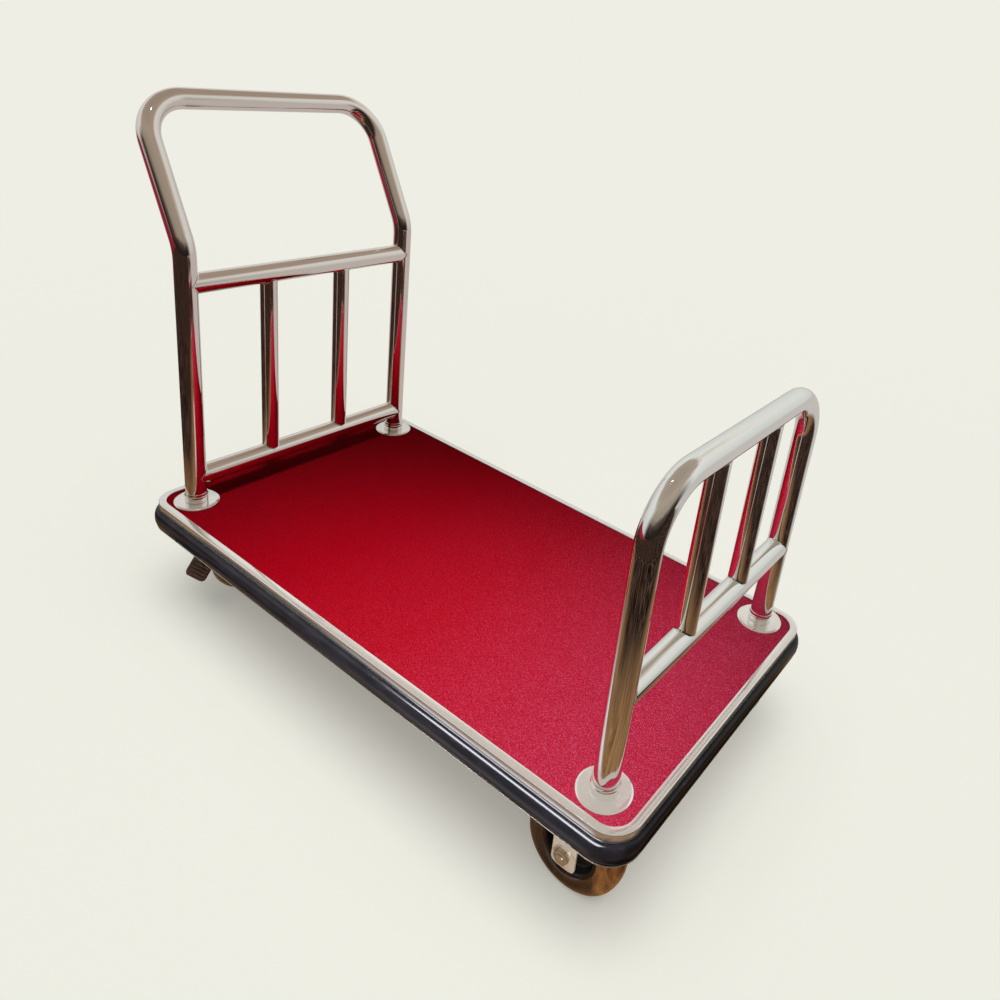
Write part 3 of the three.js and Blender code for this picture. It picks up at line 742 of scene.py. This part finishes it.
def wheel_meshes():
    """The tyre and hub about the origin, turning about Y."""
    bore, half = 47.3 * MM, 27 * MM
    shoulder = 56 * MM
    radius = AXLE_Z - 0.05 * MM
    fullness = 0.83  # below 1 the tread is squarer than an ellipse
    tyre = [(bore, -22 * MM)]
    steps = 26
    for k in range(steps + 1):
        angle = math.pi * (k / steps - 0.5)
        reach = max(math.cos(angle), 0) ** fullness
        side = math.copysign(abs(math.sin(angle)) ** fullness, angle)
        tyre.append((shoulder + (radius - shoulder) * reach, half * side))
    tyre.append((bore, 22 * MM))
    half_hub = [
        (7.8, 28.5, 0.6),
        (15, 28.5, 1.5),
        (16.5, 9, 3),
        (37, 8, 3),
        (41, 20, 2),
        (43, 22, 1),
        (47, 22, 0.5),
    ]
    hub = rounded(*half_hub, *[(r, -z, corner) for r, z, corner in reversed(half_hub)])
    return turned_mesh(tyre, AXLE_TO_Y, 96), turned_mesh(hub, AXLE_TO_Y, 72)


def placed(mesh, place):
    vertices, faces = mesh
    return [place @ vertex for vertex in vertices], faces


def hexagon(radius):
    """A hexagon's outline. The radius is in millimetres."""
    turns = [math.pi / 3 * k for k in range(6)]
    return [(radius * MM * math.cos(turn), radius * MM * math.sin(turn)) for turn in turns]


def axle_meshes(out):
    """The axle bolt with its head on one side, and the nut with its washer on the other."""
    face = (LEG_MIDDLE + SHEET / 2) / MM + 0.3
    turn = Matrix.Rotation(-out * math.pi / 2, 4, "X")
    head = prism_mesh(hexagon(13), -face - 8, -face - 0.6, turn)
    shank = rounded((0, -face - 1, 0), (7.5, -face - 1, 0), (7.5, 45, 1.6), (0, 45, 0))
    washer = rounded((8, face, 0), (14.5, face, 0), (14.5, face + 1.6, 0.5), (8, face + 1.6, 0))
    nut = prism_mesh(hexagon(13), face + 1.6, face + 8, turn)
    return head, turned_mesh(shank, turn, 40), turned_mesh(washer, turn, 48), nut


def fork_mesh(axle_x, back, front, top):
    """A sheet bent into an upside-down U, its legs tapering to a round end below the axle."""
    bend = 7 * MM
    foot = AXLE_Z - LEG_BELOW_AXLE
    corner = 9 * MM
    crown = top - SHEET / 2
    down = 22
    closer_below = 1.35  # the rings of the leg lie closer together near its rounded end
    section = []
    for k in range(down + 1):
        share = (k / down) ** closer_below
        section.append((LEG_MIDDLE, foot + (crown - bend - foot) * share))
    for k in range(1, 7):
        angle = math.pi / 2 * k / 6
        section.append(
            (LEG_MIDDLE - bend + bend * math.cos(angle), crown - bend + bend * math.sin(angle))
        )
    section.append((LEG_MIDDLE / 3, crown))
    section += [(-y, z) for y, z in reversed(section)]
    taper_foot = AXLE_Z + LEG_HALF_WIDTH
    taper = crown - 12 * MM - taper_foot
    columns = 12
    vertices = []
    for y, z in section:
        narrow = LEG_HALF_WIDTH
        if z < foot + corner:
            rise = corner - (z - foot)
            narrow = LEG_HALF_WIDTH - corner + math.sqrt(max(corner**2 - rise**2, 0)) + 0.2 * MM
        share = min(max((z - taper_foot) / taper, 0), 1)
        low, high = axle_x - narrow, axle_x + narrow
        low, high = low + (back - low) * share, high + (front - high) * share
        vertices += [Vector((low + (high - low) * c / columns, y, z)) for c in range(columns + 1)]
    return thickened(vertices, grid_faces(len(section) - 1, columns), SHEET)


def thickened(vertices, faces, thickness):
    """A sheet given its thickness, half on each side, with its edges closed."""
    sheet = bmesh.new()
    made = [sheet.verts.new(v) for v in vertices]
    for face in faces:
        sheet.faces.new([made[i] for i in face])
    sheet.normal_update()
    normals = [v.normal.copy() for v in made]
    count = len(made)
    sheet.verts.index_update()
    loops = [edge.link_loops[0] for edge in sheet.edges if edge.is_boundary]
    edges = [(loop.vert.index, loop.link_loop_next.vert.index) for loop in loops]
    sheet.free()
    front = [v + n * thickness / 2 for v, n in zip(vertices, normals)]
    back = [v - n * thickness / 2 for v, n in zip(vertices, normals)]
    walls = [(b, a, count + a, count + b) for a, b in edges]
    flipped = [tuple(count + i for i in reversed(face)) for face in faces]
    return front + back, list(faces) + flipped + walls


def bolt_heads(spots, place):
    """Hex heads with washers under a caster's plate, at places in millimetres."""
    meshes = []
    for x, y in spots:
        spot = place @ Matrix.Translation((x * MM, y * MM, PLATE_BOTTOM))
        washer = rounded((0, -1.5, 0), (8.5, -1.5, 0.5), (8.5, 0, 0), (0, 0, 0))
        meshes.append(turned_mesh(washer, spot, 32))
        meshes.append(prism_mesh(hexagon(6.6), -6, -1.5, spot))
    return merged(*meshes)


def plate_mesh(place):
    """A caster's mounting plate, 110 x 90 mm."""
    outline = rounded((55, 45, 8), (-55, 45, 8), (-55, -45, 8), (55, -45, 8), steps=8)
    return prism_mesh(outline, PLATE_BOTTOM / MM, PLATE_TOP / MM, place)


def add_wheel(kind, side, place, out, holder):
    tyre, hub = wheel_meshes()
    label = f"{kind}_{side}"
    body = f"wheel_{label}"
    add_piece(f"wheel_tyre_{label}", placed(tyre, place), body, "tyre", [f"tyre_{label}"])
    add_piece(f"wheel_hub_{label}", placed(hub, place), body, "hub", [f"hub_{label}"])
    head, shank, washer, nut = (placed(mesh, place) for mesh in axle_meshes(out))
    bolt, nut_node = [f"axle_bolt_{label}"], [f"axle_nut_{label}"]
    # The head, shank and nut take the darker axle steel: painted shade.
    dark = {"material": AXLE_STEEL}
    bevelled = {"material": AXLE_STEEL, "bevel": 0.7 * MM}
    add_piece(f"axle_head_{label}", head, holder, "caster_steel", **bevelled)
    add_piece(f"axle_shank_{label}", shank, holder, "caster_steel", bolt, **dark)
    add_piece(f"axle_washer_{label}", washer, holder, "caster_steel")
    add_piece(f"axle_hex_{label}", nut, holder, "caster_steel", nut_node, **bevelled)


def add_rigid_caster(side, sign):
    spot = Vector(JOINTS[f"wheel_rigid_{side}_spin"]["pos_m"])
    place = Matrix.Translation((spot.x, spot.y, 0))
    steel = ("frame", "caster_steel")
    add_piece(f"rigid_plate_{side}", plate_mesh(place), *steel, bevel=0.8 * MM)
    fork = placed(fork_mesh(0, -45 * MM, 45 * MM, PLATE_BOTTOM), place)
    add_piece(f"rigid_legs_{side}", fork, *steel, [f"fork_rigid_{side}"], bevel=0.6 * MM)
    heads = bolt_heads([(x, y) for x in (-47, 47) for y in (-20, 20)], place)
    add_piece(f"rigid_plate_bolts_{side}", heads, *steel)
    add_wheel("rigid", side, place @ Matrix.Translation((0, 0, AXLE_Z)), sign, "frame")


def add_swivel_caster(side, sign):
    swivel = Vector(JOINTS[f"swivel_{side}_turn"]["pos_m"])
    spin = JOINTS[f"wheel_swivel_{side}_spin"]
    turn = math.atan2(-spin["axis"][0], spin["axis"][1])
    upright = Matrix.Translation((swivel.x, swivel.y, 0))
    turned = upright @ Matrix.Rotation(turn, 4, "Z")
    trail = (Vector(spin["pos_m"]).xy - swivel.xy).length
    holder = f"swivel_{side}"
    steel = ("frame", "caster_steel")
    plate, node = plate_mesh(upright), f"swivel_plate_{side}"
    add_piece(f"swivel_top_plate_{side}", plate, *steel, [node], bevel=0.8 * MM)
    heads = bolt_heads([(x, y) for x in (-45, 45) for y in (-35, 35)], upright)
    add_piece(f"swivel_plate_bolts_{side}", heads, *steel)
    crown = swivel.z
    at_crown = Matrix.Translation(swivel)
    top = (PLATE_BOTTOM - crown) / MM - 0.3
    race = rounded((8.3, 0.3, 0), (32, 0.3, 1.5), (36, 3, 2), (36, top, 1), (8.3, top, 0))
    mesh = turned_mesh(race, at_crown, 72)
    add_piece(f"swivel_race_{side}", mesh, *steel, [f"swivel_raceway_{side}"])
    top = (PLATE_TOP - crown) / MM - 0.3
    pin = rounded(
        (0, -13.3, 0), (13, -13.3, 3.5), (13, -5.3, 0.5), (8, -5.3, 0), (8, top, 0.5), (0, top, 0)
    )
    mesh = turned_mesh(pin, at_crown, 40)
    add_piece(f"kingpin_rivet_{side}", mesh, *steel, [f"kingpin_{side}"])
    fork = placed(fork_mesh(-trail, -58 * MM, 30 * MM, crown), turned)
    node = f"fork_swivel_{side}"
    add_piece(f"swivel_legs_{side}", fork, holder, "caster_steel", [node], bevel=0.6 * MM)
    add_pedal(side, turned)
    add_wheel("swivel", side, turned @ Matrix.Translation((-trail, 0, AXLE_Z)), sign, holder)


def add_pedal(side, place):
    """The brake pedal on its pin between two ears, with four grip ribs across its tongue."""
    pin_place = Vector(JOINTS[f"brake_pedal_{side}_press"]["pos_m"])
    pin_x, pin_z = (pin_place.xy - place.translation.xy).length, pin_place.z
    x, z = pin_x / MM, pin_z / MM
    outline = rounded(
        (x + 6.5, z - 6.5, 6), (x + 6.5, z + 8, 5), (20, z + 8, 0), (20, z - 6.5, 3), steps=8
    )
    ears = []
    for sign in (-1, 1):
        y = sign * LEG_MIDDLE + SHEET / 2
        stand = Matrix.Translation((0, y, 0)) @ Matrix.Rotation(math.pi / 2, 4, "X")
        ears.append(prism_mesh(outline, 0, SHEET / MM, place @ stand))
    held = (f"swivel_{side}", "caster_steel")
    add_piece(f"pedal_ears_{side}", merged(*ears), *held, bevel=0.5 * MM)
    at_pin = Matrix.Translation((pin_x, 0, pin_z)) @ AXLE_TO_Y
    pin = rounded((0, -36.3, 0), (3, -36.3, 0.8), (3, 36.3, 0.8), (0, 36.3, 0))
    mesh = turned_mesh(pin, place @ at_pin, 32)
    add_piece(f"pedal_pin_{side}", mesh, *held, [f"brake_pin_{side}"])
    plate_x, pedal_sheet = 40 * MM, 3.6 * MM
    bend, tip = Vector((plate_x, 119 * MM, 0)), Vector((72.4 * MM, 83.4 * MM, 0))
    slope = (tip - bend).normalized()
    outward = Vector((-slope.y, slope.x, 0))
    line = [Vector((plate_x, pin_z + drop * MM, 0)) for drop in (0, -18, -34)]
    line += bend_points(line[-1], bend, tip, 14 * MM, 8)
    reach = (tip - line[-1]).length
    corner = 9 * MM
    line += [line[-1] + slope * (reach - corner) * share for share in (0.4, 0.75, 1.0)]
    line += [tip - slope * (corner - corner * math.sin(math.pi / 2 * k / 6)) for k in range(1, 7)]
    rows = []
    across = 10
    for point in line:
        past = corner - (tip - point).length if (point - bend).dot(slope) > 0 else 0
        round_off = corner - math.sqrt(max(corner**2 - max(past, 0) ** 2, 0))
        half = PEDAL_HALF_WIDTH - round_off - 0.2 * MM
        for c in range(across + 1):
            rows.append(Vector((point.x, (2 * c / across - 1) * half, point.y)))
    plate = thickened(rows, grid_faces(len(line) - 1, across), pedal_sheet)
    barrel = rounded((3.3, -25, 0), (6.5, -25, 0.5), (6.5, 25, 0.5), (3.3, 25, 0))
    rib = rounded((0, -20, 0), (1.4, -20, 1), (1.4, 20, 1), (0, 20, 0))
    parts = [plate, turned_mesh(barrel, at_pin, 32)]
    for k in range(4):
        spot = tip - slope * (9 + 6.5 * k) * MM + outward * 2.1 * MM
        parts.append(turned_mesh(rib, Matrix.Translation((spot.x, 0, spot.y)) @ AXLE_TO_Y, 16))
    mesh, node = placed(merged(*parts), place), f"brake_pedal_{side}"
    settings = {"bevel": 0.4 * MM, "material": PEDAL_STEEL}
    add_piece(f"pedal_plate_{side}", mesh, f"pedal_{side}", "caster_steel", [node], **settings)
    shoe = rounded((18.3, -14, 0), (39, -14, 0), (39, 14, 0), (18.3, 14, 0))
    shoe = prism_mesh(shoe, 126.3, 139.7, place)
    add_piece(f"pedal_shoe_{side}", shoe, f"pedal_{side}", "hub", bevel=1 * MM)


# The stage: a pale floor, and a room that only the polished metal sees

BACKDROP = (0.855, 0.855, 0.775)


def add_camera():
    """A wide lens held high and a little tilted, with its middle above and right of the cart."""
    yaw, pitch, roll = -0.5578, -0.3617, 0.1481
    level = math.cos(pitch)
    forward = Vector((math.sin(yaw) * level, math.cos(yaw) * level, math.sin(pitch)))
    right = forward.cross(Vector((0, 0, 1))).normalized()
    up = right.cross(forward)
    across = right * math.cos(roll) + up * math.sin(roll)
    over = up * math.cos(roll) - right * math.sin(roll)
    data = bpy.data.cameras.new("camera")
    data.sensor_width = 36
    data.lens = 29.33
    data.shift_x = -0.1152
    data.shift_y = -0.1409
    camera = bpy.data.objects.new("camera", data)
    basis = Matrix((across, over, -forward)).transposed().to_4x4()
    camera.matrix_world = Matrix.Translation((0.8986, -0.9747, 1.1399)) @ basis
    bpy.context.scene.collection.objects.link(camera)
    bpy.context.scene.camera = camera


def excluding(name, left_out):
    """A light-linking collection that leaves out the given objects."""
    others = bpy.data.collections.new(name)
    for piece in left_out:
        others.objects.link(piece)
    for entry in others.collection_objects:
        entry.light_linking.link_state = "EXCLUDE"
    return others


def add_light(name, kind, place, target, power, receivers, color=(1, 1, 1), **settings):
    """A light at place, turned towards target, that lights only the receivers."""
    data = bpy.data.lights.new(name, kind)
    data.energy = power
    data.color = color
    for key, value in settings.items():
        setattr(data, key, value)
    light = bpy.data.objects.new(name, data)
    light.location = place
    light.rotation_euler = (Vector(target) - Vector(place)).to_track_quat("-Z", "Y").to_euler()
    bpy.context.scene.collection.objects.link(light)
    light.light_linking.receiver_collection = receivers
    return light


def add_lights(floor):
    """Soft suns shade only the floor. The cart has a lamp over its guard end, a small glint, a
    strip for the bumper's side and a warm fill for the near caster."""
    only_floor = bpy.data.collections.new("floor_only")
    only_floor.objects.link(floor)
    middle_of_floor = (0, 0, 0)
    lean, up = (0.12, -0.16, 1), (0, 0, 1)
    wide, wider = math.radians(50), math.radians(80)
    add_light("floor_sun", "SUN", lean, middle_of_floor, 1.68, only_floor, angle=wide)
    add_light("floor_sky", "SUN", up, middle_of_floor, 0.40, only_floor, angle=wider)
    cart = excluding("all_but_floor", [floor])
    above, by_guard = (0.30, -0.55, 2.6), (0.32, -0.40, 0.2)
    lamp = add_light("guard_lamp", "SPOT", above, by_guard, 362, cart, (1, 0.985, 0.98))
    lamp.data.spot_size = math.radians(46)
    lamp.data.spot_blend = 1.0
    lamp.data.shadow_soft_size = 0.3
    lamp.visible_glossy = False
    guard = [piece for piece in bpy.data.objects if piece.name.startswith(("guard_", "floor"))]
    lamp.light_linking.blocker_collection = excluding("all_but_guard", guard)
    glint = add_light("glint", "POINT", (-0.10, -0.40, 2.6), middle_of_floor, 5, cart)
    glint.data.shadow_soft_size = 0.03
    sides = collection_of("side_pieces", "bumper_")
    beside, rim = (0.26, -1.0, 0.84), (0.42, -0.3, 0.18)
    strip = add_light("side_strip", "AREA", beside, rim, 100, sides, (0.90, 0.92, 1.0))
    strip.data.shape = "RECTANGLE"
    strip.data.size, strip.data.size_y = 1.1, 0.6
    strip.visible_camera = False
    low = collection_of("low_pieces", "wheel_tyre_rigid", "axle_", "rigid_")
    before, caster = (1.15, -1.2, 0.35), (0.45, -0.24, 0.08)
    fill = add_light("caster_fill", "AREA", before, caster, 10, low, (1, 0.91, 0.80))
    fill.data.size = 0.35
    fill.visible_camera = False


def collection_of(name, *starts):
    """A receiver collection of the pieces whose names start with one of the given words."""
    chosen = bpy.data.collections.new(name)
    for piece in bpy.data.objects:
        if piece.type == "MESH" and piece.name.startswith(starts):
            chosen.objects.link(piece)
    return chosen


def add_floor():
    """A pale floor for the camera, which fades into the backdrop, and a darker one that only
    reflections see."""
    size = 30
    mesh = bpy.data.meshes.new("floor")
    corners = [(-size, -size, 0), (size, -size, 0), (size, size, 0), (-size, size, 0)]
    mesh.from_pydata(corners, [], [(0, 1, 2, 3)])
    floor = bpy.data.objects.new("floor", mesh)
    bpy.context.scene.collection.objects.link(floor)
    made = Shader("floor", [0.9 * channel for channel in BACKDROP], 0.9)
    mesh.materials.append(made.material)
    made.set(Specular_IOR_Level=0.0)
    paths = made.node("ShaderNodeLightPath")
    seen = paths.outputs["Is Camera Ray"]
    strength = made.math("MULTIPLY", seen, FLOOR_GLOW)
    glow = made.node("ShaderNodeEmission", {"Color": (*BACKDROP, 1), "Strength": strength})
    lit = made.node("ShaderNodeAddShader", {0: glow.outputs[0], 1: made.surface.outputs[0]})
    clear = made.node("ShaderNodeBsdfTransparent").outputs[0]
    fade = made.range(made.vector_math("LENGTH", made.place), 1.6, 3.2)
    pale = made.mix_shader(made.math("MULTIPLY", fade, seen), lit.outputs[0], clear)
    wood = made.node("ShaderNodeEmission", {"Color": mirrored_floor(made), "Strength": 1.0})
    out = made.mix_shader(paths.outputs["Is Glossy Ray"], pale, wood.outputs[0])
    made.tree.links.new(out, made.tree.nodes["Material Output"].inputs["Surface"])
    return floor


def mirrored_floor(made):
    """What polished metal sees of the floor: warm boards by the cart, dark ones further off in
    front, and pale ones behind."""
    x, y, _ = made.split()
    from_middle = made.math("ABSOLUTE", made.math("SUBTRACT", x, DECK_CENTRE.x))
    past_end = made.math("MAXIMUM", made.math("SUBTRACT", from_middle, RIM_HALF.x), 0.0)
    beside = made.math("SUBTRACT", made.math("ABSOLUTE", y), RIM_HALF.y)
    past_side = made.math("MAXIMUM", beside, 0.0)
    past = made.node("ShaderNodeCombineXYZ", {0: past_end, 1: past_side}).outputs[0]
    away = made.vector_math("LENGTH", past)
    grain = made.noise(5.0, 6, 0.7, made.stretched((1, 3.5, 1)), 0.6)
    streak = made.noise(9.0, 4, 0.65, made.stretched((2.6, 0.7, 1)), 0.4)
    warm = made.mix(made.range(grain, 0.35, 0.68), (0.13, 0.062, 0.025), (0.42, 0.235, 0.11))
    dark = made.mix(made.range(streak, 0.48, 0.66), (0.006, 0.004, 0.004), (0.17, 0.095, 0.065))
    edge = made.math("ADD", away, made.math("MULTIPLY", made.math("SUBTRACT", streak, 0.5), 0.35))
    floor = made.mix(made.range(edge, 0.30, 0.58), warm, dark)
    ahead = made.range(y, -0.41, -0.36, 1.0, 0.0)
    ahead = made.math("MULTIPLY", ahead, made.range(x, 0.46, 0.54, 1.0, 0.0))
    strip = made.math("MULTIPLY", made.range(away, 0.165, 0.20, 1.0, 0.0), ahead)
    lilac = made.mix(made.range(x, -0.25, 0.15), (0.014, 0.012, 0.014), (0.74, 0.72, 0.77))
    floor = made.mix(strip, floor, lilac)
    # Black boards just beyond each end of the deck: painted contact shadow, seen only in
    # reflections.
    near = made.range(away, 0.10, 0.16, 1.0, 0.0)
    ends = made.math("MULTIPLY", made.range(past_end, 0.0, 0.02), near)
    floor = made.mix(ends, floor, (0.010, 0.009, 0.009))
    far_off = made.range(x, -3.2, -2.4, 1.0, 0.0)
    crimson = made.math("MULTIPLY", far_off, made.range(y, 0.1, 0.5, 1.0, 0.0))
    floor = made.mix(crimson, floor, (0.30, 0.02, 0.04))
    side = made.math("SUBTRACT", y, made.math("MULTIPLY", x, 0.25))
    return made.mix(made.range(side, 0.25, 0.55), floor, (0.58, 0.54, 0.515))


def add_world():
    """The camera sees a plain backdrop, matt surfaces a dim light, and polished ones a room."""
    world = bpy.data.worlds.new("studio")
    bpy.context.scene.world = world
    world.use_nodes = True
    world.node_tree.nodes.clear()
    made = Nodes(world.node_tree, "Generated")
    uneven = made.math("SUBTRACT", made.noise(5.0), 0.5)
    wavy = made.math("ADD", made.split()[2], made.math("MULTIPLY", uneven, 0.35))
    height = made.range(wavy, -0.1, 1.0)
    toward_camera = made.vector_math("DOT_PRODUCT", made.place, (0.68, -0.73, 0))
    behind, ahead = made.ramp(height, *ROOM_BEHIND), made.ramp(height, *ROOM_AHEAD)
    room = made.mix(made.range(toward_camera, 0.12, 0.5), behind, ahead)

    def background(color, strength):
        inputs = {"Color": color, "Strength": strength}
        return made.node("ShaderNodeBackground", inputs).outputs[0]

    paths = made.node("ShaderNodeLightPath")
    soft = background((1.0, 0.98, 0.95, 1), AMBIENT)
    inner = made.mix_shader(paths.outputs["Is Glossy Ray"], soft, background(room, 1.0))
    backdrop = background((*BACKDROP, 1), 1.0)
    outer = made.mix_shader(paths.outputs["Is Camera Ray"], inner, backdrop)
    made.node("ShaderNodeOutputWorld", {"Surface": outer})


# Room colours by height, from just below the horizon to straight up. The first is what is behind
# the cart, the second what is on the camera's side.
ROOM_BEHIND = [
    (0.0, (0.50, 0.46, 0.42)),
    (0.12, (0.66, 0.66, 0.63)),
    (0.38, (0.72, 0.745, 0.715)),
    (0.60, (0.80, 0.79, 0.74)),
    (0.74, (0.42, 0.35, 0.29)),
    (1.0, (0.36, 0.29, 0.235)),
]
ROOM_AHEAD = [
    (0.0, (0.012, 0.009, 0.008)),
    (0.22, (0.03, 0.022, 0.018)),
    (0.36, (0.09, 0.07, 0.055)),
    (0.50, (0.34, 0.285, 0.225)),
    (0.80, (0.42, 0.355, 0.29)),
    (1.0, (0.36, 0.29, 0.235)),
]
AMBIENT = 0.05
FLOOR_GLOW = 0.36

bpy.context.scene.view_settings.view_transform = "Standard"
add_camera()

add_trim()
add_bumper()
add_carpet()
add_posts()
add_rails_and_spindles()
add_vent_hole()
add_feet()
for side, sign in SIDES.items():
    add_rigid_caster(side, sign)
    add_swivel_caster(side, sign)
for name in ("deck_board", "underframe_member_1", "underframe_member_2", "underframe_member_3"):
    node = frame["nodes"][name]
    node.data.materials.clear()
    node.data.materials.append(MATERIALS["plywood" if name == "deck_board" else "frame_paint"])

add_lights(add_floor())
add_world()
